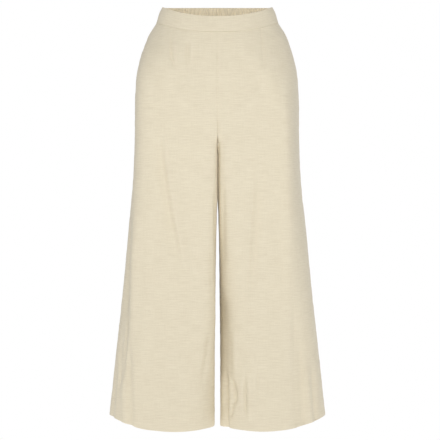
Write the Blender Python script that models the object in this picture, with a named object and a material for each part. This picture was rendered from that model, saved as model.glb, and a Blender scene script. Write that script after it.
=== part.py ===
"""Culottes: cropped wide trousers with a flat front waistband and an elasticated back waistband.

Four leg panels and two waistband pieces, each a closed wall of cloth. The garment keeps the hollow
form it has when worn. Metres, +Z up, the front faces -Y, the wearer's left is +X, and the origin is
the centre of the waist at the level of the side seams' top.

Every wall is a grid over two numbers. "below" is the distance under the waist along the side seam.
"around" runs from the side seam (0) to the centre seam, crotch seam or inseam: -1 at the front's
inner edge and +1 at the back's.
"""
import bmesh
import bpy
import numpy as np

COLLECTION = "culottes"

# Cloth and seams
CLOTH = 0.0014              # wall of one ply
BAND_WALL = 0.0024          # waistband: two plies and its stiffening or elastic
BAND_PROUD = 0.0003         # how far the band stands out from the panels
HEM_EXTRA = 0.0012          # the ply turned up inside the hem
SEAM_GAP = 0.0003

# Heights below the side seam's top
BAND_HEIGHT = 0.035
SIDE_LENGTH = 0.912
HEM_TURN_UP = 0.042
HEM_STEP = 0.002

# Waist line
FRONT_DIP = 0.034           # the front edge's centre under the side seams' top
FRONT_DIP_POWER = 1.85
BACK_RISE = 0.0170
BACK_RISE_POWER = 1.2
WAIST_LEVELLED = 0.225      # below this the rows are level again

# Crotch: where the centre seams turn under, and the point where they meet the inseams
FRONT_TURN = 0.285
BACK_TURN = 0.225
CROTCH_BELOW = 0.362        # along the side seam
CROTCH_DEPTH = 0.347        # measured straight down
INSEAM_Y = 0.006

# Hem
INNER_HEM_DROP = 0.0245     # the inseam's end under the side seam's end
FRONT_SAG = 0.0110          # the middle of the front hem hangs under its ends
SAG_STARTS = 0.70
SAG_POWER = 4

# Gathers at the back
BACK_GATHERS = 15           # over both back panels
PANEL_GATHER_DEPTH = 0.0024
GATHER_PEAK = 0.058         # where the panel's gathers are deepest
GATHER_END = 0.135
BAND_RIBS = 40
BAND_RIB_DEPTH = 0.0007

CLOTH_COLOUR = (0.76, 0.69, 0.53, 1.0)
CLOTH_ROUGHNESS = 0.85

# Half width, and depth of the centre to the front and the back. Flat is how far from the middle plane
# each face stays flat before it rounds to the side seam: on the wearer's left front and right front,
# and on both backs. Square is the power of that round: 2 is an ellipse, less leaves a straighter
# facet beside the seam, and more is boxier.
SECTION_COLUMNS = ("below", "half_width", "front", "back", "flat_left", "flat_right", "flat_back",
                   "square_left", "square_right", "square_back")
SECTIONS = np.array([
    (0.000, 0.1235, 0.092, 0.093, 0.000, 0.000, 0.000, 2.30, 2.30, 2.3),
    (0.010, 0.1288, 0.094, 0.096, 0.000, 0.000, 0.000, 2.30, 2.30, 2.3),
    (0.035, 0.1370, 0.098, 0.103, 0.006, 0.004, 0.000, 2.30, 2.30, 2.3),
    (0.063, 0.1523, 0.102, 0.113, 0.028, 0.015, 0.000, 2.30, 2.50, 2.3),
    (0.099, 0.1670, 0.106, 0.123, 0.065, 0.035, 0.000, 2.10, 3.00, 2.3),
    (0.153, 0.1793, 0.110, 0.132, 0.105, 0.060, 0.000, 1.90, 3.60, 2.3),
    (0.200, 0.1827, 0.112, 0.136, 0.122, 0.072, 0.000, 1.80, 4.00, 2.3),
    (0.300, 0.1838, 0.113, 0.133, 0.128, 0.080, 0.005, 1.80, 4.00, 2.3),
    (0.387, 0.1872, 0.111, 0.124, 0.130, 0.090, 0.022, 1.85, 3.70, 2.3),
    (0.495, 0.1985, 0.106, 0.114, 0.132, 0.112, 0.056, 1.90, 3.10, 2.3),
    (0.640, 0.2126, 0.100, 0.105, 0.136, 0.140, 0.090, 2.00, 2.40, 2.2),
    (0.783, 0.2284, 0.096, 0.100, 0.140, 0.160, 0.112, 2.00, 2.00, 2.1),
    (0.912, 0.2422, 0.094, 0.098, 0.137, 0.145, 0.122, 2.10, 2.00, 2.1),
])

# The inner side of a leg. Gap is the distance from the middle plane, turn is where the front and the
# back start to curve in, and the rest are the powers of that curve, which are higher where it is
# tighter: on the wearer's left front and right front, and on both backs.
INNER_COLUMNS = ("below", "gap", "turn", "curve_left", "curve_right", "curve_back")
INNERS = np.array([
    (0.000, 0.0000, 0.060, 16.0, 16.0, 16.0),
    (0.280, 0.0000, 0.095, 14.0, 16.0, 16.0),
    (0.362, 0.0000, 0.095, 12.0, 15.0, 12.0),
    (0.427, 0.0003, 0.095, 8.0, 12.0, 8.0),
    (0.461, 0.0020, 0.097, 6.4, 11.0, 7.0),
    (0.550, 0.0040, 0.104, 4.4, 9.0, 5.0),
    (0.640, 0.0049, 0.110, 3.3, 6.8, 3.8),
    (0.750, 0.0063, 0.118, 2.7, 4.4, 2.8),
    (0.937, 0.0067, 0.125, 2.1, 2.3, 2.1),
])

# The largest folds. Side is +1 on the wearer's left leg, face is -1 on the front, x is the distance
# from the middle plane, and depth is outward where it is positive.
FOLD_COLUMNS = ("side", "face", "x_top", "below_top", "x_low", "below_low", "width", "depth")
FOLDS = np.array([
    (-1, -1, 0.118, 0.300, 0.074, 0.620, 0.013, -0.0035),
    (-1, -1, 0.088, 0.310, 0.045, 0.640, 0.020, 0.0025),
    (-1, -1, 0.190, 0.560, 0.205, 0.890, 0.014, -0.0035),
    (1, -1, 0.090, 0.360, 0.066, 0.680, 0.016, -0.0035),
    (1, -1, 0.190, 0.640, 0.192, 0.900, 0.014, -0.0035),
    (1, -1, 0.040, 0.780, 0.050, 0.910, 0.012, -0.0030),
    (-1, 1, 0.105, 0.330, 0.090, 0.690, 0.018, -0.0040),
    (-1, 1, 0.180, 0.520, 0.200, 0.880, 0.016, -0.0035),
    (1, 1, 0.112, 0.320, 0.084, 0.660, 0.018, -0.0040),
    (1, 1, 0.176, 0.560, 0.192, 0.890, 0.016, -0.0035),
])

# Darts: a stitched crease in each front, under the waist seam
DART_X = 0.097
DART_END = 0.128
DART_WIDTH = 0.007
DART_DEPTH = -0.0014

# Rows of the leg panels, from the waist seam to the hem
ROW_SPANS = (
    (BAND_HEIGHT + SEAM_GAP / 2, BACK_TURN, 8),
    (BACK_TURN, CROTCH_BELOW, 9),
    (CROTCH_BELOW, SIDE_LENGTH - HEM_TURN_UP - HEM_STEP, 11),
    (SIDE_LENGTH - HEM_TURN_UP - HEM_STEP, SIDE_LENGTH - HEM_TURN_UP, 1),
    (SIDE_LENGTH - HEM_TURN_UP, SIDE_LENGTH, 1),
)
FRONT_COLUMNS = 20
BACK_COLUMNS = 30
BAND_ROWS = 2
BAND_FRONT_COLUMNS = 40
RIB_COLUMNS = 4

STEP = 0.0005               # down a panel, for the slopes that give the normals
AROUND_STEP = 0.002         # and around it
ON_SEAM = 1e-9              # keeps a side seam's points on their own face
SHARP_ANGLE = 0.7
FINE = 160                  # points along each stretch of a section before it is spaced out
CORNER_POINT = FINE + FINE // 2 - 1
CORNER_COLUMN = 0.7         # share of a panel's columns between its side seam and the inner corner
CORNER_MARGIN = 0.012


def smooth_column(table, columns, name, below):
    """One column of a table at a height, on a curve through its rows."""
    rows = table[:, 0]
    values = table[:, columns.index(name)]
    slopes = np.gradient(values, rows)
    i = np.clip(np.searchsorted(rows, below) - 1, 0, len(rows) - 2)
    span = rows[i + 1] - rows[i]
    t = np.clip((below - rows[i]) / span, 0.0, 1.0)
    start = (1 + 2 * t) * (1 - t) ** 2 * values[i] + t * (1 - t) ** 2 * span * slopes[i]
    end = t * t * (3 - 2 * t) * values[i + 1] + t * t * (t - 1) * span * slopes[i + 1]
    return start + end


def plain_column(table, columns, name, below):
    """One column of a table at a height, on straight lines between its rows."""
    return np.interp(below, table[:, 0], table[:, columns.index(name)])


def fade(value, start, end):
    """0 up to the start, 1 from the end, with a soft ramp between."""
    t = np.clip((value - start) / (end - start), 0.0, 1.0)
    return t * t * (3 - 2 * t)


def centre_depth(below, face):
    """Depth of the front or the back at the middle plane, at one or more heights."""
    return smooth_column(SECTIONS, SECTION_COLUMNS, "front" if face < 0 else "back", below)


def inner_edge(below, face):
    """The panel's inner edge at one row: its y and z on the centre seam, crotch seam or inseam."""
    turn = FRONT_TURN if face < 0 else BACK_TURN
    depth = centre_depth(min(below, turn), face)
    if below <= turn:
        return face * depth, -below
    if below <= CROTCH_BELOW:
        angle = np.pi / 2 * (below - turn) / (CROTCH_BELOW - turn)
        y = INSEAM_Y + (face * depth - INSEAM_Y) * np.cos(angle)
        return y, -(turn + (CROTCH_DEPTH - turn) * np.sin(angle))
    down = (below - CROTCH_BELOW) / (SIDE_LENGTH - CROTCH_BELOW)
    return INSEAM_Y, -(CROTCH_DEPTH + (SIDE_LENGTH + INNER_HEM_DROP - CROTCH_DEPTH) * down)


def section(below, face, side):
    """Points of one row of a leg, from the side seam to the panel's inner edge, as if on the left."""
    form = "back" if face > 0 else "left" if side > 0 else "right"
    half_width = smooth_column(SECTIONS, SECTION_COLUMNS, "half_width", below)
    square = plain_column(SECTIONS, SECTION_COLUMNS, "square_" + form, below)
    edge_y, edge_z = inner_edge(below, face)
    gap = SEAM_GAP / 2 + plain_column(INNERS, INNER_COLUMNS, "gap", -edge_z)
    flat = smooth_column(SECTIONS, SECTION_COLUMNS, "flat_" + form, below)
    turn = smooth_column(INNERS, INNER_COLUMNS, "turn", -edge_z)
    curve = smooth_column(INNERS, INNER_COLUMNS, "curve_" + form, -edge_z)

    def level(x):
        """Distance under the waist of a level row, which slopes from the side to the inner edge."""
        return below - (edge_z + below) * (half_width - x) / (half_width - gap)

    def outline(x):
        """Depth of the panel's broad face at a distance x from the middle plane."""
        out = np.clip((x - flat) / (half_width - flat), 0.0, 1.0)
        return face * centre_depth(level(x), face) * (1 - out ** square) ** (1 / square)

    sweep = np.linspace(0.0, np.pi / 2, FINE)
    outer_x = half_width - (half_width - turn) * (1 - np.cos(sweep))
    outer_y = outline(outer_x)

    way = np.linspace(0.0, 1.0, FINE)[1:]
    size = (way ** curve + (1 - way) ** curve) ** (1 / curve)
    inner_x = turn - (turn - gap) * way / size
    face_y = outline(inner_x)
    face_edge = face * centre_depth(below, face)
    full_reach = abs(INSEAM_Y - face_edge)
    reach = max(abs(edge_y - face_edge), full_reach / curve)
    inner_y = face_y + (edge_y - face_y) * (1 - ((1 - way) / size) ** (full_reach / reach))

    x = np.concatenate([outer_x, inner_x])
    y = np.concatenate([outer_y, inner_y])
    z = -level(x)
    forward = np.abs(y) / centre_depth(-z, face)
    if face < 0:
        waist_shift = -FRONT_DIP * forward ** FRONT_DIP_POWER
    else:
        waist_shift = BACK_RISE * forward ** BACK_RISE_POWER
    z += waist_shift * (1 - fade(below, BAND_HEIGHT, WAIST_LEVELLED))
    if face < 0:
        z -= FRONT_SAG * forward ** SAG_POWER * fade(below, SAG_STARTS, SIDE_LENGTH)
    return np.stack([x, y, z], axis=1)


def row_spacing(below, face, total, after_corner):
    """Length of a row from its side seam to the leg's inner front or back corner.

    The columns keep to that corner, so that none of them crosses it where the legs part.
    """
    turn = FRONT_TURN if face < 0 else BACK_TURN
    spread = (1 - CORNER_COLUMN) * total * (1 - fade(below, BAND_HEIGHT, turn))
    return total - max(after_corner, spread, CORNER_MARGIN)


def row_points(below, around, side):
    """Points of one leg at one height, spaced along the row, as if on the left."""
    points = np.empty((len(around), 3))
    for face in (-1, 1):
        chosen = around < 0 if face < 0 else around >= 0
        path = section(below, face, side)
        lengths = np.linalg.norm(np.diff(path, axis=0), axis=1)
        along = np.concatenate([[0.0], np.cumsum(lengths)])
        side_trim = SEAM_GAP / 2
        inner_trim = SEAM_GAP / 2 * fade(below, FRONT_TURN, CROTCH_BELOW)
        to_corner = row_spacing(below, face, along[-1], along[-1] - along[CORNER_POINT])
        stops = (side_trim, to_corner, along[-1] - inner_trim)
        wanted = np.interp(np.abs(around[chosen]), (0.0, CORNER_COLUMN, 1.0), stops)
        for axis in range(3):
            points[chosen, axis] = np.interp(wanted, along, path[:, axis])
    return points


def row_normals(below, around, side):
    """Outward directions at the same points, never across the middle plane."""
    ahead = row_points(below, np.clip(around + AROUND_STEP, -1.0, 1.0), side)
    behind = row_points(below, np.clip(around - AROUND_STEP, -1.0, 1.0), side)
    lower = row_points(below + STEP, around, side)
    upper = row_points(below - STEP, around, side)
    normals = np.cross(ahead - behind, upper - lower)
    normals /= np.linalg.norm(normals, axis=1)[:, None]
    beside_middle = row_points(below, around, side)[:, 0] < CORNER_MARGIN
    normals[beside_middle, 0] = np.minimum(normals[beside_middle, 0], 0.0)
    return normals


def fold_height(points, normals, side, below):
    """How far the large folds and the darts push the cloth out at each point."""
    height = np.zeros(len(points))
    for row in FOLDS:
        fold = dict(zip(FOLD_COLUMNS, row))
        if fold["side"] != side:
            continue
        facing = np.clip(normals[:, 1] * fold["face"], 0.0, 1.0)
        down = (below - fold["below_top"]) / (fold["below_low"] - fold["below_top"])
        centre = fold["x_top"] + (fold["x_low"] - fold["x_top"]) * down
        across = np.exp(-((points[:, 0] - centre) / fold["width"]) ** 2)
        along = fade(down, -0.15, 0.3) * (1 - fade(down, 0.75, 1.1))
        height += fold["depth"] * across * along * facing
    front = np.clip(-normals[:, 1], 0.0, 1.0)
    dart = np.exp(-((points[:, 0] - DART_X) / DART_WIDTH) ** 2)
    height += DART_DEPTH * dart * front * (1 - fade(below, 0.6 * DART_END, DART_END))
    return height


def gather_height(around, below):
    """The back panels' gathers, flat at the waist seam and fading out over the seat."""
    wave = np.sin(np.pi * BACK_GATHERS / 2 * np.clip(around, 0.0, 1.0)) ** 2
    rise = fade(below, BAND_HEIGHT, GATHER_PEAK)
    return PANEL_GATHER_DEPTH * wave * rise * (1 - fade(below, GATHER_PEAK, GATHER_END))


def panel_grids(side, face, columns):
    """Outer and inner points of one leg panel."""
    around = face * np.linspace(0.0, 1.0, columns + 1)
    around[0] = face * ON_SEAM
    heights = [ROW_SPANS[0][0]]
    for start, end, count in ROW_SPANS:
        heights.extend(np.linspace(start, end, count + 1)[1:])
    outer = []
    inner = []
    for below in heights:
        points = row_points(below, around, side)
        normals = row_normals(below, around, side)
        lift = fold_height(points, normals, side, below) + gather_height(around, below)
        wall = CLOTH + HEM_EXTRA * (below > SIDE_LENGTH - HEM_TURN_UP - HEM_STEP / 2)
        outside = points + normals * lift[:, None]
        outer.append(outside)
        inner.append(outside - normals * wall)
    mirror = np.array([side, 1, 1])
    return np.array(outer) * mirror, np.array(inner) * mirror


def band_grids(face, columns, ribs):
    """Outer and inner points of one waistband piece, from the right side seam to the left."""
    across = np.linspace(-1.0, 1.0, columns + 1)
    around = face * np.maximum(1 - np.abs(across), ON_SEAM)
    lift = BAND_PROUD + BAND_RIB_DEPTH * np.sin(np.pi * ribs * (across + 1) / 2) ** 2
    side = np.where(across < -ON_SEAM, -1.0, np.where(across > ON_SEAM, 1.0, 0.0))
    outer = []
    inner = []
    for below in np.linspace(0.0, BAND_HEIGHT - SEAM_GAP / 2, BAND_ROWS + 1):
        points = np.where(side[:, None] < 0, row_points(below, around, -1), row_points(below, around, 1))
        normals = np.where(side[:, None] < 0, row_normals(below, around, -1), row_normals(below, around, 1))
        points[:, 0] *= side
        normals[:, 0] *= side
        outside = points + normals * lift[:, None]
        outer.append(outside)
        inner.append(outside - normals * BAND_WALL)
    return np.array(outer), np.array(inner)


def cloth_material(name):
    """The garment's cloth as one plain material for each piece."""
    material = bpy.data.materials.new(name)
    material.use_nodes = True
    shader = material.node_tree.nodes["Principled BSDF"]
    shader.inputs["Base Color"].default_value = CLOTH_COLOUR
    shader.inputs["Roughness"].default_value = CLOTH_ROUGHNESS
    shader.inputs["Metallic"].default_value = 0.0
    return material


def wall_object(name, grids, collection):
    """One closed wall between an outer and an inner grid of points."""
    outer, inner = grids
    rows, columns, _ = outer.shape
    points = np.concatenate([outer.reshape(-1, 3), inner.reshape(-1, 3)])
    inner_start = rows * columns
    faces = []
    for row in range(rows - 1):
        for column in range(columns - 1):
            a = row * columns + column
            b, c, d = a + 1, a + columns + 1, a + columns
            faces += [(a, d, c), (a, c, b)]
            faces += [tuple(inner_start + p for p in face) for face in ((a, c, d), (a, b, c))]
    rim = [(0, column) for column in range(columns)]
    rim += [(row, columns - 1) for row in range(1, rows)]
    rim += [(rows - 1, column) for column in range(columns - 2, -1, -1)]
    rim += [(row, 0) for row in range(rows - 2, 0, -1)]
    edge = [row * columns + column for row, column in rim]
    for p, q in zip(edge, edge[1:] + edge[:1]):
        faces += [(p, q, inner_start + q), (p, inner_start + q, inner_start + p)]

    mesh = bpy.data.meshes.new(name)
    mesh.from_pydata(points.tolist(), [], faces)
    shape = bmesh.new()
    shape.from_mesh(mesh)
    bmesh.ops.recalc_face_normals(shape, faces=shape.faces)
    shape.to_mesh(mesh)
    shape.free()
    mesh.shade_smooth()
    mesh.set_sharp_from_angle(angle=SHARP_ANGLE)
    mesh.materials.append(cloth_material(name))
    piece = bpy.data.objects.new(name, mesh)
    collection.objects.link(piece)
    return piece


def build():
    """Clear the scene and make the six pieces."""
    for thing in list(bpy.data.objects):
        bpy.data.objects.remove(thing)
    collection = bpy.data.collections.new(COLLECTION)
    bpy.context.scene.collection.children.link(collection)
    for side, side_name in ((1, "left"), (-1, "right")):
        wall_object("front_" + side_name, panel_grids(side, -1, FRONT_COLUMNS), collection)
        wall_object("back_" + side_name, panel_grids(side, 1, BACK_COLUMNS), collection)
    wall_object("waistband_front", band_grids(-1, BAND_FRONT_COLUMNS, 0), collection)
    wall_object("waistband_back", band_grids(1, BAND_RIBS * RIB_COLUMNS, BAND_RIBS), collection)


build()
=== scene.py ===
"""The culottes' looks: linen-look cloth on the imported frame, with its seams, darts, gathers, folds and
hems, over a plain pale floor in a white surround.

Each cloth piece is a closed thin wall over two numbers. "below" is the distance under the waist along
the side seam. "around" runs from the side seam (0) to the leg's inner edge: -1 on the front and +1 on
the back. A side is -1 on the wearer's right and 1 on the left, and a face is -1 on the front and 1 on
the back. Sizes are metres, +Z is up, the front faces -Y and the wearer's left is +X.
"""
import math

import bmesh
import bpy
import numpy as np
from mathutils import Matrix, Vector


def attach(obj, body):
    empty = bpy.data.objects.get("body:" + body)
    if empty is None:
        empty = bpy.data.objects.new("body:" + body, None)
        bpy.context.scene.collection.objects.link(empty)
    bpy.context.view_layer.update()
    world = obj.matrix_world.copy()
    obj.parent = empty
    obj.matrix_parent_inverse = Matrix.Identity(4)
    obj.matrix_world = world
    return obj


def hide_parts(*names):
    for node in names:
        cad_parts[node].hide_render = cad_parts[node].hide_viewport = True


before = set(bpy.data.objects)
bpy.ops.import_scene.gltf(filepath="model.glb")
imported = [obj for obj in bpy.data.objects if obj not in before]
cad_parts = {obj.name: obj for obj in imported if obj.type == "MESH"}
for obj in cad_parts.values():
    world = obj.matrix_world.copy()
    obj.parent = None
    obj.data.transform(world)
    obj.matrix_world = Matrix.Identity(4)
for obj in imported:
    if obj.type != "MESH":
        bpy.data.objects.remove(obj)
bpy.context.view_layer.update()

BODY = "root"

# ---------------------------------------------------------------- cloth, seams and hems
CLOTH = 0.0012              # one ply
BAND_WALL = 0.0024          # waistband, two plies with its stiffening or elastic
BAND_PROUD = 0.0003         # the waistband stands out this far from the panels
HEM_EXTRA = 0.0011          # the ply turned up inside the hem
SEAM_GAP = 0.00006          # left between two pieces
EDGE_ROUND = 0.0005         # how far in from a piece's edges the wall is rounded off
EDGE_PINCH = 0.28           # share of the wall by which each face draws in at its edge
SEAM_DIP = 0.00010          # the cloth turns in towards a seam
WAIST_SEAM_DIP = 0.00040
SEAM_DIP_WIDTH = 0.0026
HEM_LINE_DIP = 0.00025      # where the hem's stitches pull the cloth in
HEM_LINE_WIDTH = 0.0012

BAND_HEIGHT = 0.035
SIDE_LENGTH = 0.912         # from the waist to the hem
HEM_TURN_UP = 0.042
HEM_STEP = 0.0015           # the turned-up ply sets in over this height
HEM_LINE = SIDE_LENGTH - HEM_TURN_UP    # the turned-up ply's top edge, which is stitched

FRONT_DIP = 0.034           # the waist at the middle of the front, under the sides
FRONT_DIP_POWER = 1.85
BACK_RISE = 0.0170          # the waist at the middle of the back, over the sides
BACK_RISE_POWER = 1.0
WAIST_LEVELLED = 0.225      # the waist's dip and rise are gone from here down

FRONT_TURN = 0.285          # where each centre seam turns into the crotch seam
BACK_TURN = 0.225
CROTCH_BELOW = 0.362        # the crotch's row, and its real depth under the waist
CROTCH_DEPTH = 0.347
INSEAM_Y = 0.006

INNER_HEM_DROP = 0.0245     # the hem is lower at the inseam than at the side
FRONT_SAG = 0.0110          # and lower again at the front
SAG_STARTS = 0.70           # under the waist
SAG_POWER = 4

# ---------------------------------------------------------------- form
# As in the CAD part, but for the back's waist line, which is straighter here. "flat" is how far from the
# middle plane a broad face stays flat, and "square" how squarely it then turns to the side. "gap" is half
# the gap between the legs, "turn" where a leg's inner turn starts and "curve" how square that turn is.
SECTION_COLUMNS = ("below", "half_width", "front", "back", "flat_left", "flat_right", "flat_back",
                   "square_left", "square_right", "square_back")
SECTIONS = np.array([
    (0.000, 0.1235, 0.092, 0.093, 0.000, 0.000, 0.000, 2.30, 2.30, 2.3),
    (0.010, 0.1288, 0.094, 0.096, 0.000, 0.000, 0.000, 2.30, 2.30, 2.3),
    (0.035, 0.1370, 0.098, 0.103, 0.006, 0.004, 0.000, 2.30, 2.30, 2.3),
    (0.063, 0.1523, 0.102, 0.113, 0.028, 0.015, 0.000, 2.30, 2.50, 2.3),
    (0.099, 0.1670, 0.106, 0.123, 0.065, 0.035, 0.000, 2.10, 3.00, 2.3),
    (0.153, 0.1793, 0.110, 0.132, 0.105, 0.060, 0.000, 1.90, 3.60, 2.3),
    (0.200, 0.1827, 0.112, 0.136, 0.122, 0.072, 0.000, 1.80, 4.00, 2.3),
    (0.300, 0.1838, 0.113, 0.133, 0.128, 0.080, 0.005, 1.80, 4.00, 2.3),
    (0.387, 0.1872, 0.111, 0.124, 0.130, 0.090, 0.022, 1.85, 3.70, 2.3),
    (0.495, 0.1985, 0.106, 0.114, 0.132, 0.112, 0.056, 1.90, 3.10, 2.3),
    (0.640, 0.2126, 0.100, 0.105, 0.136, 0.140, 0.090, 2.00, 2.40, 2.2),
    (0.783, 0.2284, 0.096, 0.100, 0.140, 0.160, 0.112, 2.00, 2.00, 2.1),
    (0.912, 0.2422, 0.094, 0.098, 0.137, 0.145, 0.122, 2.10, 2.00, 2.1),
])
INNER_COLUMNS = ("below", "gap", "turn", "curve_left", "curve_right", "curve_back")
INNERS = np.array([
    (0.000, 0.0000, 0.060, 16.0, 16.0, 16.0),
    (0.280, 0.0000, 0.095, 14.0, 16.0, 16.0),
    (0.362, 0.0000, 0.095, 12.0, 15.0, 12.0),
    (0.427, 0.0003, 0.095, 8.0, 12.0, 8.0),
    (0.461, 0.0020, 0.097, 6.4, 11.0, 7.0),
    (0.550, 0.0040, 0.104, 4.4, 9.0, 5.0),
    (0.640, 0.0049, 0.110, 3.3, 6.8, 3.8),
    (0.750, 0.0063, 0.118, 2.7, 4.4, 2.8),
    (0.937, 0.0067, 0.125, 2.1, 2.3, 2.1),
])

# ---------------------------------------------------------------- folds placed one by one
# Each is a soft trough, or a ridge where its depth is positive, along a curve through three points.
# x is the distance from the middle plane on its own leg and down is the distance under the waist.
# Lean over 1 makes the fold gentler on its outer side. Open is 1 where it runs on past its low end.
FOLD_COLUMNS = ("x1", "down1", "x2", "down2", "x3", "down3", "width", "depth", "lean", "open")
RIGHT_FRONT_FOLDS = (
    (0.1210, 0.270, 0.1200, 0.340, 0.1120, 0.410, 0.0040, -0.0014, 1.2, 0),
    (0.1265, 0.275, 0.1130, 0.430, 0.0690, 0.620, 0.0105, -0.0080, 1.83, 0),
    (0.1140, 0.330, 0.0850, 0.480, 0.0520, 0.680, 0.0110, 0.0031, 1.0, 0),
    (0.1340, 0.330, 0.1080, 0.480, 0.0760, 0.640, 0.0120, 0.0020, 1.0, 0),
    (0.1990, 0.400, 0.2070, 0.570, 0.2110, 0.770, 0.0125, -0.0135, 1.0, 0),
    (0.1760, 0.440, 0.1830, 0.600, 0.1890, 0.760, 0.0120, 0.0036, 1.0, 0),
    (0.1960, 0.640, 0.2020, 0.740, 0.2150, 0.860, 0.0055, -0.0056, 1.2, 0),
    (0.2130, 0.700, 0.2160, 0.780, 0.2200, 0.890, 0.0040, -0.0042, 1.0, 0),
    (0.1930, 0.740, 0.1920, 0.820, 0.1890, 0.925, 0.0065, -0.0050, 1.0, 1),
    (0.2060, 0.800, 0.2060, 0.860, 0.2040, 0.918, 0.0060, 0.0025, 1.0, 1),
    (0.2250, 0.780, 0.2290, 0.850, 0.2340, 0.912, 0.0040, -0.0042, 1.0, 1),
    (0.0150, 0.440, 0.0148, 0.560, 0.0150, 0.700, 0.0022, -0.0012, 1.0, 0),
    (0.0055, 0.395, 0.0055, 0.480, 0.0060, 0.580, 0.0018, -0.0034, 1.0, 0),
    (0.0070, 0.580, 0.0072, 0.740, 0.0075, 0.930, 0.0085, 0.0046, 1.0, 1),
    (0.0157, 0.700, 0.0220, 0.780, 0.0380, 0.860, 0.0050, -0.0025, 1.0, 0),
    (0.1700, 0.233, 0.1400, 0.231, 0.1130, 0.234, 0.0030, -0.0013, 1.0, 0),
    (0.0630, 0.085, 0.0645, 0.115, 0.0660, 0.150, 0.0040, -0.0036, 1.0, 0),
    (0.0720, 0.150, 0.0770, 0.170, 0.0820, 0.200, 0.0090, -0.0015, 1.0, 0),
    (0.0400, 0.760, 0.0440, 0.800, 0.0460, 0.870, 0.0160, -0.0022, 1.0, 0),
)
LEFT_FRONT_FOLDS = (
    (0.0900, 0.340, 0.0860, 0.470, 0.0650, 0.700, 0.0110, -0.0058, 1.83, 0),
    (0.1000, 0.380, 0.0980, 0.500, 0.0800, 0.700, 0.0130, 0.0025, 1.0, 0),
    (0.1480, 0.120, 0.1450, 0.420, 0.1580, 0.740, 0.0150, 0.0080, 1.6, 0),
    (0.1640, 0.620, 0.1700, 0.760, 0.1730, 0.915, 0.0110, -0.0048, 1.4, 1),
    (0.1800, 0.720, 0.1830, 0.800, 0.1870, 0.915, 0.0075, -0.0042, 1.0, 1),
    (0.1900, 0.760, 0.1960, 0.850, 0.2030, 0.915, 0.0060, 0.0034, 1.0, 1),
    (0.2060, 0.780, 0.2100, 0.850, 0.2140, 0.912, 0.0045, -0.0036, 1.0, 1),
    (0.0040, 0.230, 0.0045, 0.360, 0.0050, 0.500, 0.0090, -0.0040, 1.0, 0),
    (0.0030, 0.610, 0.0060, 0.720, 0.0050, 0.860, 0.0190, -0.0078, 1.0, 0),
    (0.0085, 0.650, 0.0085, 0.800, 0.0085, 0.935, 0.0060, 0.0042, 1.0, 1),
    (0.0048, 0.260, 0.0052, 0.420, 0.0065, 0.600, 0.0036, 0.0024, 1.0, 0),
    (0.0125, 0.370, 0.0130, 0.480, 0.0140, 0.600, 0.0060, -0.0030, 1.0, 0),
    (0.0350, 0.700, 0.0390, 0.780, 0.0380, 0.850, 0.0060, 0.0028, 1.0, 0),
    (0.0250, 0.815, 0.0455, 0.856, 0.0330, 0.888, 0.0046, -0.0088, 1.0, 0),
    (0.0165, 0.800, 0.0190, 0.850, 0.0200, 0.900, 0.0036, -0.0060, 1.0, 0),
    (0.0320, 0.870, 0.0330, 0.890, 0.0290, 0.915, 0.0028, -0.0050, 1.0, 0),
    (0.0590, 0.805, 0.0605, 0.860, 0.0605, 0.925, 0.0032, -0.0067, 1.0, 0),
    (0.0850, 0.800, 0.0840, 0.840, 0.0830, 0.870, 0.0040, -0.0020, 1.0, 0),
    (0.0180, 0.860, 0.0200, 0.890, 0.0210, 0.935, 0.0040, -0.0062, 1.0, 1),
    (0.0220, 0.150, 0.0230, 0.240, 0.0120, 0.330, 0.0110, -0.0025, 1.0, 0),
    (0.0880, 0.165, 0.0860, 0.180, 0.0870, 0.200, 0.0060, -0.0018, 1.0, 0),
    (0.0960, 0.050, 0.0965, 0.090, 0.0970, 0.140, 0.0022, -0.0013, 1.0, 0),
    (0.1040, 0.090, 0.1010, 0.125, 0.1060, 0.170, 0.0060, -0.0017, 1.0, 0),
)
BACK_FOLDS = {
    -1: (
        (0.1000, 0.300, 0.0980, 0.480, 0.0860, 0.700, 0.0120, -0.0050, 1.2, 0),
        (0.1750, 0.480, 0.1900, 0.680, 0.2050, 0.915, 0.0090, -0.0056, 1.0, 1),
        (0.0500, 0.620, 0.0560, 0.760, 0.0600, 0.920, 0.0090, -0.0036, 1.0, 1),
        (0.0120, 0.290, 0.0450, 0.330, 0.0900, 0.350, 0.0070, -0.0028, 1.0, 0),
        (0.1400, 0.700, 0.1420, 0.820, 0.1500, 0.918, 0.0080, -0.0034, 1.0, 1),
    ),
    1: (
        (0.1120, 0.320, 0.1000, 0.500, 0.0840, 0.680, 0.0120, -0.0048, 1.2, 0),
        (0.1700, 0.520, 0.1840, 0.720, 0.1960, 0.915, 0.0090, -0.0053, 1.0, 1),
        (0.0420, 0.660, 0.0500, 0.800, 0.0480, 0.920, 0.0080, -0.0036, 1.0, 1),
        (0.0120, 0.300, 0.0400, 0.345, 0.0800, 0.375, 0.0070, -0.0031, 1.0, 0),
        (0.1260, 0.740, 0.1300, 0.840, 0.1280, 0.918, 0.0080, -0.0031, 1.0, 1),
    ),
}
FRONT_FOLDS = {-1: RIGHT_FRONT_FOLDS, 1: LEFT_FRONT_FOLDS}
FOLD_POINTS = 160           # along a fold's curve
FOLD_REACH = 4              # a fold isn't worked out beyond this many of its widths
FOLD_END = 0.35             # share of its length over which a fold's end fades
FOLD_FACING = 0.35          # it is full where the cloth faces forward or back this much, out of 1

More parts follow.
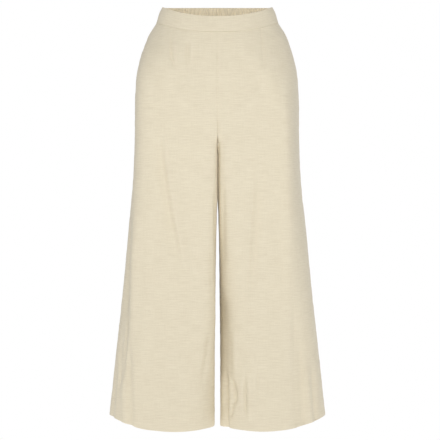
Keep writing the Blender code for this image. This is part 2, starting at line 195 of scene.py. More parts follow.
# Darts: a stitched line down each front, with the cloth fuller beside it, and a dimple at its end.
# x is the distance from the middle plane, and depth is in the line itself.
DART_COLUMNS = ("down", "x", "depth")
DARTS = {
    -1: np.array([(0.030, 0.0950, 0.0010), (0.070, 0.0982, 0.0014), (0.100, 0.1000, 0.0026),
                  (0.122, 0.0992, 0.0042), (0.136, 0.0960, 0.0034), (0.148, 0.0930, 0.0000)]),
    1: np.array([(0.030, 0.0950, 0.0005), (0.070, 0.0965, 0.0006), (0.105, 0.0985, 0.0010),
                 (0.125, 0.0990, 0.0011), (0.138, 0.0985, 0.0008), (0.148, 0.0975, 0.0000)]),
}
DART_WIDTH = 0.0022
DART_FULL_WIDTH = 0.016
DART_FULLNESS = 0.0018
DART_FULL_GROWS = (0.045, 0.125)        # from and to these distances under the waist
DART_FULL_FADES = (0.140, 0.240)

# Gathers of the back: ribs and soft gathers are counted across the whole of it
BAND_RIBS = 42
RIB_DEPTH = 0.0011
RIB_SHARE = 0.8             # of that depth at the panels' top
GATHER_FADE = 0.030         # the band's ribs run on this far into the panels
SOFT_GATHERS = 15
SOFT_GATHER_DEPTH = 0.0026
SOFT_GATHER_PEAK = 0.060    # full at this distance under the waist, and gone by about the next
SOFT_GATHER_END = 0.150

# Noise that varies them, and the front band: middle value, spread, cells along half of the back or the
# front, cells a metre down, offset and seed
SOFT_GATHER_SWAY = (0.0, 1.32, 9, 18, 0, 3)             # radians
SOFT_GATHER_STRENGTH = (0.75, 0.5, 7.5, 6, 3, 4)
SOFT_GATHER_LASTING = (0.8, 0.35, 8, 0, 11, 5)
RIB_SWAY = (0.0, 0.7, 13, 25, 0, 61)                    # radians
RIB_STRENGTH = (0.8, 0.5, 16, 20, 5, 62)
FRONT_BAND_UNEVEN = (0.0, 0.0002, 9, 50, 0, 63)         # metres

# Unevenness of the panels: height, size around and size down
SWELL = (0.0016, 0.070, 0.260)
CRUMPLE = (0.00030, 0.022, 0.012)
FINE_CRUMPLE = (0.6, 2.3, 1.7)          # share of the crumple's height, and how many times finer it is
SWELL_STARTS = 0.20                     # full from this far under the waist
SWELL_MARGIN = 0.04                     # from a panel's two long seams
CRUMPLE_MARGIN = 0.01

# Puckers: what a line of stitches draws up beside it
PUCKER = (0.00045, 0.014, 0.012)        # height, length along a seam, reach from it
PUCKER_WAVES = ((1.0, 1.0, 0.05), (0.5, 2.1, 0.03))     # share, times finer along, size away from it
PUCKER_MARGIN = 0.003                   # none on a long seam itself
HEM_PUCKERS = 0.7                       # strengths beside each line
WAIST_PUCKERS = 0.8
INNER_PUCKERS = 0.8
BAND_PUCKERS = 0.5
BAND_PUCKER_RUN = 0.17                  # taken as half a band's length, for the puckers' size along it

# Each panel has its own seeds, counted on from its first
SEED = 7
PANEL_SEEDS = 20
SWELL_SEED, CRUMPLE_SEED, FINE_CRUMPLE_SEED = 0, 1, 2
HEM_SEED, WAIST_SEED, SIDE_SEED, INNER_SEED = 4, 6, 8, 10
BAND_SEED = 64
LATTICE = 128               # cells before the noise repeats

# ---------------------------------------------------------------- mesh density
GATHERED_ROWS_END = 0.060
ROW_SPANS = (               # start, end and number of rows
    (BAND_HEIGHT + SEAM_GAP / 2, GATHERED_ROWS_END, 13),
    (GATHERED_ROWS_END, BACK_TURN, 50),
    (BACK_TURN, CROTCH_BELOW, 56),
    (CROTCH_BELOW, HEM_LINE - HEM_STEP, 150),
    (HEM_LINE - HEM_STEP, HEM_LINE, 3),
    (HEM_LINE, SIDE_LENGTH, 20),
)
EDGE_STOPS = (0.0, 0.0003, 0.0007, 0.0012, 0.0022, 0.0036)      # distances from a piece's edge
EDGE_ROWS = EDGE_STOPS[1:4]             # more rows beside a panel's top and its hem
USUAL_WIDTH = 0.33                      # of a panel or a band, to place the columns at its edges
FRONT_COLUMNS = 104
BACK_COLUMNS = 118
BAND_FRONT_COLUMNS = 150
BAND_BACK_COLUMNS = 504
BAND_ROWS = 12
FINE = 200                  # points of each half of a leg's section
CORNER_POINT = FINE + FINE // 2 - 1     # the leg's inner front or back corner among them
CORNER_COLUMN = 0.7         # the value of "around" there
CORNER_MARGIN = 0.012       # least distance from the corner to the inner edge or the middle plane
BAND_END_FADE = 0.012       # a waistband is plain at its side seams
GRAIN_X = 0.085             # the yarns run straight down a leg along this line
BAND_GRAIN_SHIFT = 2.0      # so that a band's weave isn't the same as the panels'
STEP = 0.0005               # down and around, to find the way a surface faces
AROUND_STEP = 0.002
ON_SEAM = 1e-9              # stands for 0 where a side or a face still has to be told


# ---------------------------------------------------------------- helpers
def smooth_column(table, columns, name, below):
    """One column of a table at a height, on a curve through its rows."""
    rows = table[:, 0]
    values = table[:, columns.index(name)]
    slopes = np.gradient(values, rows)
    i = np.clip(np.searchsorted(rows, below) - 1, 0, len(rows) - 2)
    span = rows[i + 1] - rows[i]
    t = np.clip((below - rows[i]) / span, 0.0, 1.0)
    start = (1 + 2 * t) * (1 - t) ** 2 * values[i] + t * (1 - t) ** 2 * span * slopes[i]
    end = t * t * (3 - 2 * t) * values[i + 1] + t * t * (t - 1) * span * slopes[i + 1]
    return start + end


def plain_column(table, columns, name, below):
    """One column of a table at a height, on straight lines between its rows."""
    return np.interp(below, table[:, 0], table[:, columns.index(name)])


def fade(value, start, end):
    """0 up to the start, 1 from the end, with a soft ramp between."""
    t = np.clip((value - start) / (end - start), 0.0, 1.0)
    return t * t * (3 - 2 * t)


def bell(distance, width):
    """1 on a line, and almost 0 at twice the width from it."""
    return np.exp(-(distance / width) ** 2)


def distance_along(path):
    """Distance of each point of a path from its start."""
    return np.concatenate([[0.0], np.cumsum(np.linalg.norm(np.diff(path, axis=0), axis=1))])


# ---------------------------------------------------------------- plain form of a leg
def centre_depth(below, face):
    """Depth of the front or the back at the middle plane, at one or more heights."""
    return smooth_column(SECTIONS, SECTION_COLUMNS, "front" if face < 0 else "back", below)


def inner_edge(below, face):
    """The panel's inner edge at one row: its y and z on the centre seam, crotch seam or inseam."""
    turn = FRONT_TURN if face < 0 else BACK_TURN
    depth = centre_depth(min(below, turn), face)
    if below <= turn:
        return face * depth, -below
    if below <= CROTCH_BELOW:
        angle = math.pi / 2 * (below - turn) / (CROTCH_BELOW - turn)
        y = INSEAM_Y + (face * depth - INSEAM_Y) * math.cos(angle)
        return y, -(turn + (CROTCH_DEPTH - turn) * math.sin(angle))
    down = (below - CROTCH_BELOW) / (SIDE_LENGTH - CROTCH_BELOW)
    return INSEAM_Y, -(CROTCH_DEPTH + (SIDE_LENGTH + INNER_HEM_DROP - CROTCH_DEPTH) * down)


def section(below, face, side):
    """Points of one row of a leg, from the side seam to the panel's inner edge, as if on the left."""
    form = "back" if face > 0 else "left" if side > 0 else "right"
    half_width = smooth_column(SECTIONS, SECTION_COLUMNS, "half_width", below)
    square = plain_column(SECTIONS, SECTION_COLUMNS, "square_" + form, below)
    edge_y, edge_z = inner_edge(below, face)
    gap = SEAM_GAP / 2 + plain_column(INNERS, INNER_COLUMNS, "gap", -edge_z)
    flat = smooth_column(SECTIONS, SECTION_COLUMNS, "flat_" + form, below)
    turn = smooth_column(INNERS, INNER_COLUMNS, "turn", -edge_z)
    curve = smooth_column(INNERS, INNER_COLUMNS, "curve_" + form, -edge_z)

    def level(x):
        """Distance under the waist of a level row, which slopes from the side to the inner edge."""
        return below - (edge_z + below) * (half_width - x) / (half_width - gap)

    def outline(x):
        """Depth of the panel's broad face at a distance x from the middle plane."""
        out = np.clip((x - flat) / (half_width - flat), 0.0, 1.0)
        return face * centre_depth(level(x), face) * (1 - out ** square) ** (1 / square)

    sweep = np.linspace(0.0, math.pi / 2, FINE)
    outer_x = half_width - (half_width - turn) * (1 - np.cos(sweep))
    outer_y = outline(outer_x)

    way = np.linspace(0.0, 1.0, FINE)[1:]
    size = (way ** curve + (1 - way) ** curve) ** (1 / curve)
    inner_x = turn - (turn - gap) * way / size
    face_y = outline(inner_x)
    face_edge = face * centre_depth(below, face)
    full_reach = abs(INSEAM_Y - face_edge)
    reach = max(abs(edge_y - face_edge), full_reach / curve)
    inner_y = face_y + (edge_y - face_y) * (1 - ((1 - way) / size) ** (full_reach / reach))

    x = np.concatenate([outer_x, inner_x])
    y = np.concatenate([outer_y, inner_y])
    z = -level(x)
    forward = np.abs(y) / centre_depth(-z, face)
    if face < 0:
        waist_shift = -FRONT_DIP * forward ** FRONT_DIP_POWER
    else:
        waist_shift = BACK_RISE * forward ** BACK_RISE_POWER
    z += waist_shift * (1 - fade(below, BAND_HEIGHT, WAIST_LEVELLED))
    if face < 0:
        z -= FRONT_SAG * forward ** SAG_POWER * fade(below, SAG_STARTS, SIDE_LENGTH)
    return np.stack([x, y, z], axis=1)


def corner_distance(below, face, total, after_corner):
    """Where the corner's column goes on a row: at the leg's corner, or evenly spaced at the waist."""
    turn = FRONT_TURN if face < 0 else BACK_TURN
    spread = (1 - CORNER_COLUMN) * total * (1 - fade(below, BAND_HEIGHT, turn))
    return total - max(after_corner, spread, CORNER_MARGIN)


def row_points(below, around, side, as_cloth=False):
    """Points of one leg at one height, as if on the left, and their distance along the row.

    The distance is from the side seam, or from the grain line where it is asked for as cloth.
    """
    points = np.empty((len(around), 3))
    lengths = np.empty(len(around))
    for face in (-1, 1):
        chosen = around < 0 if face < 0 else around >= 0
        if not chosen.any():
            continue
        path = section(below, face, side)
        along = distance_along(path)
        inner_trim = SEAM_GAP / 2 * fade(below, FRONT_TURN, CROTCH_BELOW)
        to_corner = corner_distance(below, face, along[-1], along[-1] - along[CORNER_POINT])
        stops = (SEAM_GAP / 2, to_corner, along[-1] - inner_trim)
        wanted = np.interp(np.abs(around[chosen]), (0.0, CORNER_COLUMN, 1.0), stops)
        lengths[chosen] = wanted
        for axis in range(3):
            points[chosen, axis] = np.interp(wanted, along, path[:, axis])
        if as_cloth:
            lengths[chosen] -= np.interp(-GRAIN_X, -path[:, 0], along)
    return points, lengths


def row_normals(below, around, side):
    """Outward directions at the same points, never across the middle plane."""
    ahead = row_points(below, np.clip(around + AROUND_STEP, -1.0, 1.0), side)[0]
    behind = row_points(below, np.clip(around - AROUND_STEP, -1.0, 1.0), side)[0]
    lower = row_points(below + STEP, around, side)[0]
    upper = row_points(below - STEP, around, side)[0]
    normals = np.cross(ahead - behind, upper - lower)
    normals /= np.linalg.norm(normals, axis=1)[:, None]
    beside_middle = row_points(below, around, side)[0][:, 0] < CORNER_MARGIN
    normals[beside_middle, 0] = np.minimum(normals[beside_middle, 0], 0.0)
    return normals


# ---------------------------------------------------------------- cloth surface
def value_noise(u, v, seed):
    """Smooth noise from -1 to 1 on a lattice of unit cells."""
    lattice = np.random.default_rng(SEED + seed).uniform(-1.0, 1.0, (LATTICE, LATTICE))
    iu = np.floor(u).astype(int)
    iv = np.floor(v).astype(int)
    fu = u - iu
    fv = v - iv
    fu = fu * fu * fu * (fu * (fu * 6 - 15) + 10)
    fv = fv * fv * fv * (fv * (fv * 6 - 15) + 10)
    a = lattice[iu % LATTICE, iv % LATTICE]
    b = lattice[(iu + 1) % LATTICE, iv % LATTICE]
    c = lattice[iu % LATTICE, (iv + 1) % LATTICE]
    d = lattice[(iu + 1) % LATTICE, (iv + 1) % LATTICE]
    return (a * (1 - fu) + b * fu) * (1 - fv) + (c * (1 - fu) + d * fu) * fv


def varied(pattern, across, below):
    """A value that wanders about its middle over the cloth, in one of the gathers' patterns."""
    middle, spread, cells_across, cells_down, offset, seed = pattern
    u = across * cells_across + offset
    return middle + spread * value_noise(u, below * cells_down * np.ones_like(u), seed)


def fold_height(points, folds):
    """Height of the listed folds at points given by their x from the middle and their z."""
    height = np.zeros(points.shape[:-1])
    t = np.linspace(0.0, 1.0, FOLD_POINTS)
    for row in folds:
        fold = dict(zip(FOLD_COLUMNS, row))
        x = (1 - t) ** 2 * fold["x1"] + 2 * t * (1 - t) * fold["x2"] + t ** 2 * fold["x3"]
        z = -((1 - t) ** 2 * fold["down1"] + 2 * t * (1 - t) * fold["down2"] + t ** 2 * fold["down3"])
        reach = FOLD_REACH * fold["width"] * fold["lean"]
        near = (points[..., 0] > x.min() - reach) & (points[..., 0] < x.max() + reach)
        near &= (points[..., 2] > z.min() - reach) & (points[..., 2] < z.max() + reach)
        px = points[near][:, 0]
        pz = points[near][:, 2]
        squares = (px[:, None] - x) ** 2 + (pz[:, None] - z) ** 2
        nearest = squares.argmin(axis=1)
        outer_side = px > x[nearest]
        width = np.where(outer_side, fold["width"] * fold["lean"], fold["width"] / fold["lean"])
        across = np.exp(-squares.min(axis=1) / width ** 2)
        along = fade(t[nearest], 0.0, FOLD_END)
        if not fold["open"]:
            along *= 1 - fade(t[nearest], 1 - FOLD_END, 1.0)
        height[near] += fold["depth"] * across * along
    return height


def dart_height(points, side):
    """One front's dart, and the cloth standing fuller on its outer side."""
    down = -points[..., 2]
    dart = DARTS[side]
    line = points[..., 0] - smooth_column(dart, DART_COLUMNS, "x", down)
    crease = smooth_column(dart, DART_COLUMNS, "depth", down) * bell(line, DART_WIDTH)
    fullness = DART_FULLNESS * fade(down, *DART_FULL_GROWS) * (1 - fade(down, *DART_FULL_FADES))
    return fullness * bell(line - DART_FULL_WIDTH, DART_FULL_WIDTH) - crease


def gather_height(around, below):
    """The elastic's ribs run on into the back panels and melt into broader soft gathers."""
    ribs = np.cos(math.pi * BAND_RIBS * around) * (1 - fade(below, BAND_HEIGHT, BAND_HEIGHT + GATHER_FADE))
    soft = np.cos(math.pi * SOFT_GATHERS * around + varied(SOFT_GATHER_SWAY, around, below))
    soft *= varied(SOFT_GATHER_STRENGTH, around, below)
    end = SOFT_GATHER_END * varied(SOFT_GATHER_LASTING, around, below)
    lasting = fade(below, BAND_HEIGHT, SOFT_GATHER_PEAK) * (1 - fade(below, SOFT_GATHER_PEAK, end))
    return RIB_SHARE * RIB_DEPTH * ribs + SOFT_GATHER_DEPTH * soft * lasting


def pucker_height(along_seam, from_seam, seed):
    """Small ripples that a line of stitches draws up beside it."""
    height, length, reach = PUCKER
    ripple = 0.0
    for wave, (share, finer, away) in enumerate(PUCKER_WAVES):
        ripple += share * value_noise(along_seam / length * finer, from_seam / away, seed + wave)
    return height * ripple * np.exp(-np.abs(from_seam) / reach)


def uneven_height(lengths, below, open_cloth, seed):
    """Broad swells and a fine crumple, which fade out towards a panel's two long seams."""
    lift, wide, tall = SWELL
    swell = lift * value_noise(lengths / wide, below / tall, seed + SWELL_SEED)
    height = swell * fade(below, BAND_HEIGHT, SWELL_STARTS) * open_cloth(SWELL_MARGIN)
    lift, wide, tall = CRUMPLE
    share, around_finer, down_finer = FINE_CRUMPLE
    crumple = value_noise(lengths / wide, below / tall, seed + CRUMPLE_SEED)
    crumple += share * value_noise(lengths / wide * around_finer, below / tall * down_finer,
                                   seed + FINE_CRUMPLE_SEED)
    return height + lift * crumple * open_cloth(CRUMPLE_MARGIN)


def seam_height(lengths, to_inner, below, open_cloth, seed):
    """The puckers and the dips along a panel's waist seam, long seams and hem line."""
    from_waist = below - BAND_HEIGHT
    from_hem_line = below - HEM_LINE
    level = HEM_PUCKERS * pucker_height(lengths, from_hem_line, seed + HEM_SEED)
    level += WAIST_PUCKERS * pucker_height(lengths, from_waist, seed + WAIST_SEED)
    height = level * open_cloth(CRUMPLE_MARGIN)
    height += pucker_height(below, lengths, seed + SIDE_SEED) * fade(lengths, 0.0, PUCKER_MARGIN)
    inner = INNER_PUCKERS * pucker_height(below, to_inner, seed + INNER_SEED)
    height += inner * fade(to_inner, 0.0, PUCKER_MARGIN)
    height -= HEM_LINE_DIP * bell(from_hem_line, HEM_LINE_WIDTH)
    height -= SEAM_DIP * bell(np.minimum(lengths, to_inner), SEAM_DIP_WIDTH)
    height -= WAIST_SEAM_DIP * bell(from_waist, SEAM_DIP_WIDTH)
    return height


def surface_height(place, normal, around, lengths, below, side, face):
    """How far a panel's cloth stands out from its plain form at each point."""
    seed = PANEL_SEEDS * (2 + side + (face > 0))
    to_inner = lengths[:, -1:] - lengths
    facing = np.clip(normal[..., 1] * face, 0.0, 1.0)

    def open_cloth(margin):
        """0 on a panel's two long seams, and 1 from this far inside them."""
        return fade(lengths, 0.0, margin) * fade(to_inner, 0.0, margin)

    folds = (FRONT_FOLDS if face < 0 else BACK_FOLDS)[side]
    height = fold_height(place, folds) * fade(facing, 0.0, FOLD_FACING)
    if face < 0:
        height += dart_height(place, side) * facing
    else:
        height += gather_height(np.abs(around), below)
    height += uneven_height(lengths, below, open_cloth, seed)
    return height + seam_height(lengths, to_inner, below, open_cloth, seed)


def edge_pinch(distance, wall):
    """How far each face of a wall of this thickness draws in near its edge, which rounds it."""
    t = np.clip(1 - distance / EDGE_ROUND, 0.0, 1.0)
    return EDGE_PINCH * wall * (1 - np.sqrt(1 - t * t))


def with_edges(count, length):
    """Places from 0 to 1 on this length, evenly spaced but closer at both ends, to round the edges."""
    stops = np.array(EDGE_STOPS) / length
    middle = np.linspace(stops[-1], 1 - stops[-1], count + 1)[1:-1]
    return np.concatenate([stops, middle, 1 - stops[::-1]])


def leg_panel(side, face):
    """Outer and inner points of one leg panel, with its cloth coordinates."""
    columns = FRONT_COLUMNS if face < 0 else BACK_COLUMNS
    around = face * with_edges(columns, USUAL_WIDTH)
    around[0] = face * ON_SEAM
    heights = [ROW_SPANS[0][0]]
    for start, end, count in ROW_SPANS:
        heights.extend(np.linspace(start, end, count + 1)[1:])
    beside_edges = [heights[0] + s for s in EDGE_ROWS] + [heights[-1] - s for s in EDGE_ROWS]
    heights = np.array(sorted(heights + beside_edges))
    rows = [row_points(below, around, side) for below in heights]
    place = np.array([row[0] for row in rows])
    lengths = np.array([row[1] for row in rows])
    yarns = np.array([row_points(below, around, side, True)[1] for below in heights])
    normal = np.array([row_normals(below, around, side) for below in heights])
    below = heights[:, None] * np.ones_like(lengths)

    height = surface_height(place, normal, around * np.ones_like(lengths), lengths, below, side, face)
    wall = CLOTH + HEM_EXTRA * fade(below, HEM_LINE - HEM_STEP, HEM_LINE)
    edge = np.minimum(np.minimum(lengths - lengths[:, :1], lengths[:, -1:] - lengths),
                      np.minimum(below - heights[0], heights[-1] - below))
    pinch = edge_pinch(edge, wall)
    outer = place + normal * (height - pinch)[..., None]
    inner = place + normal * (height - wall + pinch)[..., None]
    mirror = np.array([side, 1, 1])
    return {"outer": outer * mirror, "inner": inner * mirror, "u": yarns, "v": -place[..., 2],
            "normal": normal * mirror, "height": heights}


def band_height(across, around, from_top, from_seam, face):
    """How far a waistband stands out along one row: gathered at the back, nearly plain in front."""
    if face > 0:
        ribs = np.cos(math.pi * BAND_RIBS * np.abs(around) + varied(RIB_SWAY, across, from_top))
        return RIB_DEPTH * ribs * varied(RIB_STRENGTH, across, from_top)
    puckers = pucker_height(across * BAND_PUCKER_RUN, from_seam, BAND_SEED)
    return varied(FRONT_BAND_UNEVEN, across, from_top) + BAND_PUCKERS * puckers


def band_panel(face):
    """Outer and inner points of one waistband piece, from the right side seam to the left."""
    columns = BAND_FRONT_COLUMNS if face < 0 else BAND_BACK_COLUMNS
    across = 2 * with_edges(columns, USUAL_WIDTH) - 1
    around = face * np.maximum(1 - np.abs(across), ON_SEAM)
    side = np.sign(np.where(np.abs(across) < ON_SEAM, 0.0, across))
    right = side < 0
    lowest = BAND_HEIGHT - SEAM_GAP / 2
    heights = lowest * with_edges(BAND_ROWS, lowest)
    outer, inner, u, v, normals = [], [], [], [], []
    for below in heights:
        right_place, right_lengths = row_points(below, around, -1)
        left_place, left_lengths = row_points(below, around, 1)
        place = np.where(right[:, None], right_place, left_place)
        normal = np.where(right[:, None], row_normals(below, around, -1), row_normals(below, around, 1))
        lengths = np.where(right, right_lengths, left_lengths)
        place[:, 0] *= side
        normal[:, 0] *= side
        relief = band_height(across, around, below, lowest - below, face)
        height = BAND_PROUD + relief * fade(lengths, 0.0, BAND_END_FADE)
        edge = np.minimum(lengths - lengths.min(), min(below, lowest - below))
        pinch = edge_pinch(edge, BAND_WALL)
        outer.append(place + normal * (height - pinch)[:, None])
        inner.append(place + normal * (height - BAND_WALL + pinch)[:, None])
        u.append(side * (lengths - lengths.max()) + BAND_GRAIN_SHIFT)
        v.append(np.full(len(across), below))
        normals.append(normal)
    return {"outer": np.array(outer), "inner": np.array(inner), "u": np.array(u), "v": np.array(v),
            "normal": np.array(normals), "height": heights}


def add_piece(name, mesh, material):
    """A mesh as a smooth piece of the scene, in one material."""
    mesh.shade_smooth()
    mesh.materials.append(material)
    piece = bpy.data.objects.new(name, mesh)
    bpy.context.scene.collection.objects.link(piece)
    return piece


def wall_piece(name, grid, material):
    """One closed wall between an outer and an inner grid of points, with its cloth coordinates."""
    rows, columns = grid["outer"].shape[:2]
    points = np.concatenate([grid["outer"].reshape(-1, 3), grid["inner"].reshape(-1, 3)])
    inner_start = rows * columns
    index = np.arange(inner_start).reshape(rows, columns)
    a, b = index[:-1, :-1].ravel(), index[:-1, 1:].ravel()
    c, d = index[1:, 1:].ravel(), index[1:, :-1].ravel()
    outer_faces = np.stack([a, d, c, b], axis=1)
    inner_faces = np.stack([a, b, c, d], axis=1) + inner_start
    edge = np.concatenate([index[0, :-1], index[:-1, -1], index[-1, :0:-1], index[:0:-1, 0]])
    following = np.roll(edge, -1)
    rim_faces = np.stack([edge, following, following + inner_start, edge + inner_start], axis=1)
    faces = np.concatenate([outer_faces, inner_faces, rim_faces])
    mesh = bpy.data.meshes.new(name)
    mesh.from_pydata(points.tolist(), [], faces.tolist())
    cloth = np.stack([grid["u"].ravel(), -grid["v"].ravel()], axis=1)
    cloth = np.concatenate([cloth, cloth])
    layer = mesh.uv_layers.new(name="cloth")
    layer.data.foreach_set("uv", cloth[faces.ravel()].astype(np.float32).ravel())
    shape = bmesh.new()
    shape.from_mesh(mesh)
    bmesh.ops.recalc_face_normals(shape, faces=shape.faces)
    shape.to_mesh(mesh)
    shape.free()
    return add_piece(name, mesh, material)


# ---------------------------------------------------------------- stitches
STITCH_LENGTH = 0.0023
STITCH_PITCH = 0.0032
STITCH_WIDTH = 0.00030      # from the middle of the thread to its side
STITCH_SINK = 0.00012       # into the cloth, and this many times deeper again at a stitch's ends
STITCH_DIVE = 3.0
STITCH_DIVE_POWER = 4
STITCH_SIDES = 6
STITCH_RINGS = ((-0.5, 0.35), (-0.36, 0.9), (0.0, 1.0), (0.36, 0.9), (0.5, 0.35))   # place, girth
ROW_MARGIN = 0.002          # a row starts and ends this far from the panel's edges
UNDER_HEM_LINE = 0.001      # and runs this far below the hem line


def one_stitch(here, run, up, first):
    """Points and faces of one stitch, where its first point has this number in the row."""
    beside = np.cross(run, up)
    points = []
    for place, girth in STITCH_RINGS:
        sag = STITCH_SINK * (1 + STITCH_DIVE * (2 * place) ** STITCH_DIVE_POWER)
        centre = here + run * place * STITCH_LENGTH - up * sag
        for k in range(STITCH_SIDES):
            angle = 2 * math.pi * k / STITCH_SIDES
            outward = up * math.cos(angle) + beside * math.sin(angle)
            points.append(centre + STITCH_WIDTH * girth * outward)
    faces = []
    for ring in range(len(STITCH_RINGS) - 1):
        start = first + ring * STITCH_SIDES
        for k in range(STITCH_SIDES):
            a = start + k
            b = start + (k + 1) % STITCH_SIDES
            faces.append((a, b, b + STITCH_SIDES, a + STITCH_SIDES))
    last = first + (len(STITCH_RINGS) - 1) * STITCH_SIDES
    faces.append(tuple(first + k for k in reversed(range(STITCH_SIDES))))
    faces.append(tuple(last + k for k in range(STITCH_SIDES)))
    return points, faces


def stitch_row(name, path, normals, material):
    """A row of short thread stitches along a path on the cloth."""
    along = distance_along(path)

    def at(distance, values):
        """The path's point or normal at a distance along it."""
        return np.array([np.interp(distance, along, values[:, k]) for k in range(3)])

    count = int((along[-1] - 2 * ROW_MARGIN) / STITCH_PITCH)
    points = []
    faces = []
    for middle in ROW_MARGIN + STITCH_PITCH * (np.arange(count) + 0.5):
        here = at(middle, path)
        run = at(middle + STITCH_LENGTH / 2, path) - here
        run /= np.linalg.norm(run)
        up = at(middle, normals)
        up -= run * up.dot(run)
        up /= np.linalg.norm(up)
        more_points, more_faces = one_stitch(here, run, up, len(points))
        points.extend(more_points)
        faces.extend(more_faces)
    mesh = bpy.data.meshes.new(name)
    mesh.from_pydata([tuple(p) for p in points], [], faces)
    return add_piece(name, mesh, material)


# ---------------------------------------------------------------- materials
WHITE = (1.0, 1.0, 1.0, 1.0)
CLOTH_FINISH = {"Roughness": 0.88, "Sheen Weight": 0.25, "Sheen Roughness": 0.45,
                "Specular IOR Level": 0.25}
CLOTH_DARK = (0.730, 0.650, 0.490, 1.0)
CLOTH_LIGHT = (0.825, 0.750, 0.585, 1.0)
CLOTH_RAMP = (0.32, 0.68)               # the tones that are quite dark and quite light
CLOTH_BUMP = {"Strength": 0.55, "Distance": 0.00035}
THREAD_FINISH = {"Roughness": 0.6, "Sheen Weight": 0.2}
THREAD_DARK = (0.60, 0.52, 0.38, 1.0)
THREAD_LIGHT = (0.80, 0.73, 0.57, 1.0)
THREAD_TWIST = 2600.0                   # noise cells to the metre

# Yarns to the metre, and where their wave starts
WARP = (1150, 0.0)
WEFT = (1050, 1.3)
WAVE_LENGTH = math.pi / 10              # Blender's wave texture repeats after this
YARN_RUN = 0.12                         # a yarn's unevenness is this much slower along it
YARN_UNEVEN = {"Scale": 1.0, "Distortion": 1.6, "Detail": 1.0, "Detail Scale": 0.25}

# Noise cells to the metre across and down, detail and offset
SLUBS_ACROSS = (38, 520, 3.0, 0.0)
SLUBS_DOWN = (560, 30, 2.0, 4.0)
FLECK = (260, 700, 2.0, 9.0)
CLOUDS = (22, 30, 2.0, 2.0)
OFFSET_DOWN = 0.7                       # an offset's share down the cloth

# Shares of each in the whole
WEAVE_MIX = (0.5, 0.5)                  # warp and weft
SLUB_MIX = (0.76, 0.24)                 # slubs across and down
RELIEF_MIX = (0.35, 1.1)                # weave and slubs
TONE_MIX = (0.62, 0.2, 0.10, 0.08)      # slubs, fleck, clouds and weave


def set_inputs(node, settings):
    """Constants on a node's own sockets."""
    for socket, value in settings.items():
        node.inputs[socket].default_value = value


def new_material(name, finish):
    """A material with constants on its shader's sockets, and its nodes, links and shader."""
    material = bpy.data.materials.new(name)
    material.use_nodes = True
    tree = material.node_tree
    shader = tree.nodes["Principled BSDF"]
    set_inputs(shader, finish)
    return material, tree.nodes, tree.links, shader


def colour_ramp(nodes, links, tone, shader, ends):
    """The shader's base colour, from a dark one to a light one as the tone rises."""
    ramp = nodes.new("ShaderNodeValToRGB")
    for element, (position, colour) in zip(ramp.color_ramp.elements, ends):
        element.position = position
        element.color = colour
    links.new(tone, ramp.inputs["Fac"])
    links.new(ramp.outputs["Color"], shader.inputs["Base Color"])
    return ramp.color_ramp


def linen(name):
    """Undyed linen-look plain weave: uneven yarns both ways, with longer slubs across."""
    material, nodes, links, shader = new_material(name, CLOTH_FINISH)
    cloth = nodes.new("ShaderNodeUVMap")
    cloth.uv_map = "cloth"

    def mapped(across, down, offset=0.0):
        """Cloth coordinates scaled to repeats a metre."""
        mapping = nodes.new("ShaderNodeMapping")
        set_inputs(mapping, {"Scale": (across, down, 1.0), "Location": (offset, offset * OFFSET_DOWN, 0.0)})
        links.new(cloth.outputs["UV"], mapping.inputs["Vector"])
        return mapping.outputs["Vector"]

    def noise(across, down, detail, offset):
        """Noise from 0 to 1 on the cloth, with its cells this many to the metre each way."""
        node = nodes.new("ShaderNodeTexNoise")
        set_inputs(node, {"Scale": 1.0, "Detail": detail})
        links.new(mapped(across, down, offset), node.inputs["Vector"])
        return node.outputs["Fac"]

    def maths(operation, first, second):
        """One maths node over two sockets or numbers."""
        node = nodes.new("ShaderNodeMath")
        node.operation = operation
        for socket, value in zip(node.inputs, (first, second)):
            if isinstance(value, (int, float)):
                socket.default_value = value
            else:
                links.new(value, socket)
        return node.outputs["Value"]

    def mixed(parts, shares):
        """The sum of sockets, each with its share."""
        total = maths("MULTIPLY", parts[0], shares[0])
        for part, share in zip(parts[1:], shares[1:]):
            total = maths("ADD", total, maths("MULTIPLY", part, share))
        return total

    def yarns(count, phase, direction):
        """Parallel yarns as a wave from 0 to 1, a little uneven in thickness and place."""
        node = nodes.new("ShaderNodeTexWave")
        node.wave_type = "BANDS"
        node.bands_direction = direction
        set_inputs(node, YARN_UNEVEN)
        node.inputs["Phase Offset"].default_value = phase
        pitch = count * WAVE_LENGTH
        scale = (pitch, pitch * YARN_RUN) if direction == "X" else (pitch * YARN_RUN, pitch)
        links.new(mapped(*scale), node.inputs["Vector"])
        return node.outputs["Fac"]

    weave = mixed((yarns(*WARP, "X"), yarns(*WEFT, "Y")), WEAVE_MIX)
    slubs = mixed((noise(*SLUBS_ACROSS), noise(*SLUBS_DOWN)), SLUB_MIX)
    relief = mixed((weave, slubs), RELIEF_MIX)
    tone = mixed((slubs, noise(*FLECK), noise(*CLOUDS), weave), TONE_MIX)
    ramp = colour_ramp(nodes, links, tone, shader, zip(CLOTH_RAMP, (CLOTH_DARK, CLOTH_LIGHT)))
    ramp.interpolation = "EASE"

    bump = nodes.new("ShaderNodeBump")
    set_inputs(bump, CLOTH_BUMP)
    links.new(relief, bump.inputs["Height"])
    links.new(bump.outputs["Normal"], shader.inputs["Normal"])
    return material


def thread():
    """Sewing thread, matched to the cloth, with a slight twist."""
    material, nodes, links, shader = new_material("thread", THREAD_FINISH)
    place = nodes.new("ShaderNodeTexCoord")
    twist = nodes.new("ShaderNodeTexNoise")
    twist.inputs["Scale"].default_value = THREAD_TWIST
    links.new(place.outputs["Object"], twist.inputs["Vector"])
    colour_ramp(nodes, links, twist.outputs["Fac"], shader, ((0.0, THREAD_DARK), (1.0, THREAD_LIGHT)))
    return material


def dress(piece, node):
    """Hang a cloth piece on the body in place of its CAD node."""
    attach(piece, BODY)
    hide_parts(node)


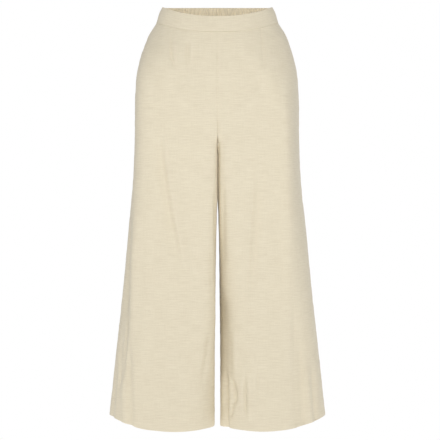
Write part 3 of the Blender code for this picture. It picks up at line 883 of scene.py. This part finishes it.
def make_garment():
    """The four leg panels, both waistbands and the hems' stitches."""
    cloth = linen("linen_cloth")
    sewing = thread()
    for side, side_name in ((1, "left"), (-1, "right")):
        for face, face_name in ((-1, "front"), (1, "back")):
            node = face_name + "_" + side_name
            grid = leg_panel(side, face)
            piece = wall_piece("cloth_" + node, grid, cloth)
            dress(piece, node)
            row = int(np.abs(grid["height"] - (HEM_LINE + UNDER_HEM_LINE)).argmin())
            stitches = stitch_row("stitches_" + node, grid["outer"][row], grid["normal"][row], sewing)
            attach(stitches, BODY)
    for face, face_name in ((-1, "front"), (1, "back")):
        grid = band_panel(face)
        node = "waistband_" + face_name
        piece = wall_piece("cloth_" + node, grid, cloth)
        dress(piece, node)


# ---------------------------------------------------------------- stage, lights and camera
CAMERA_X = 0.00585
CAMERA_Z = -0.477
CAMERA_DISTANCE = 2.6
VIEW_WIDTH = 0.990          # what the frame takes in at the middle plane
SENSOR_MM = 36
FLOOR_Z = -1.05
FLOOR_BACK = 0.20           # the floor's edge behind the garment
FLOOR_SIZE = 8.0
FLOOR_FINISH = {"Base Color": (0.42, 0.42, 0.42, 1.0), "Roughness": 0.9, "Specular IOR Level": 0.1,
                "Emission Color": WHITE, "Emission Strength": 0.84}
SURROUND_LIGHT = 0.34       # what the surround gives the garment, where the camera sees 1
GARMENT_MIDDLE = (0.0, 0.0, -0.45)
GARMENT_TOP = (0.0, 0.0, -0.1)
BACK_BAND = (0.0, 0.093, 0.0)
UNDER_BACK_BAND = (0.0, 0.093, -0.012)
# Name, place, target, size and power. The last two light the inside of the back's band, which shows.
LIGHTS = (
    ("key", (0.60, -2.9, -0.25), GARMENT_MIDDLE, 1.7, 7.3),
    ("fill", (-1.3, -2.6, -0.15), GARMENT_MIDDLE, 1.4, 7),
    ("left_side", (2.6, 0.2, 0.20), GARMENT_MIDDLE, 1.2, 8),
    ("right_side", (-2.6, 0.2, 0.20), GARMENT_MIDDLE, 1.2, 4.5),
    ("top", (0.0, -1.5, 2.1), GARMENT_TOP, 0.9, 15),
    ("rear", (0.5, 2.9, 0.1), GARMENT_MIDDLE, 1.7, 46),
    ("waist", (0.0, -1.2, -0.24), UNDER_BACK_BAND, 0.15, 1.42),
    ("inside", (0.0, -0.03, -0.22), BACK_BAND, 0.08, 0.20),
)


def make_stage():
    """A plain pale floor, which ends behind the garment, below what the camera takes in."""
    material = new_material("pale_floor", FLOOR_FINISH)[0]
    bpy.ops.mesh.primitive_plane_add(size=FLOOR_SIZE, location=(0, FLOOR_BACK - FLOOR_SIZE / 2, FLOOR_Z))
    floor = bpy.context.object
    floor.name = "floor"
    floor.data.materials.append(material)


def soft_light(name, location, target, size, power):
    """A square soft light aimed at a point."""
    light = bpy.data.lights.new(name, "AREA")
    light.shape = "SQUARE"
    light.size = size
    light.energy = power
    lamp = bpy.data.objects.new(name, light)
    lamp.location = location
    lamp.rotation_euler = (Vector(target) - Vector(location)).to_track_quat("-Z", "Y").to_euler()
    bpy.context.scene.collection.objects.link(lamp)


def make_lights():
    """The soft lights, in a white surround that is dimmer than it looks."""
    for light in LIGHTS:
        soft_light(*light)
    world = bpy.data.worlds.new("surround")
    world.use_nodes = True
    nodes, links = world.node_tree.nodes, world.node_tree.links
    seen = nodes.new("ShaderNodeLightPath")
    strength = nodes.new("ShaderNodeMapRange")
    set_inputs(strength, {"To Min": SURROUND_LIGHT, "To Max": 1.0})
    nodes["Background"].inputs["Color"].default_value = WHITE
    links.new(seen.outputs["Is Camera Ray"], strength.inputs["Value"])
    links.new(strength.outputs["Result"], nodes["Background"].inputs["Strength"])
    bpy.context.scene.world = world
    bpy.context.scene.view_settings.view_transform = "Standard"


def make_camera():
    """A level camera in front, at about the middle of the garment's height."""
    data = bpy.data.cameras.new("camera")
    data.sensor_width = SENSOR_MM
    data.lens = SENSOR_MM * CAMERA_DISTANCE / VIEW_WIDTH
    camera = bpy.data.objects.new("camera", data)
    camera.location = (CAMERA_X, -CAMERA_DISTANCE, CAMERA_Z)
    camera.rotation_euler = (math.pi / 2, 0, 0)
    bpy.context.scene.collection.objects.link(camera)
    bpy.context.scene.camera = camera


make_garment()
make_stage()
make_lights()
make_camera()
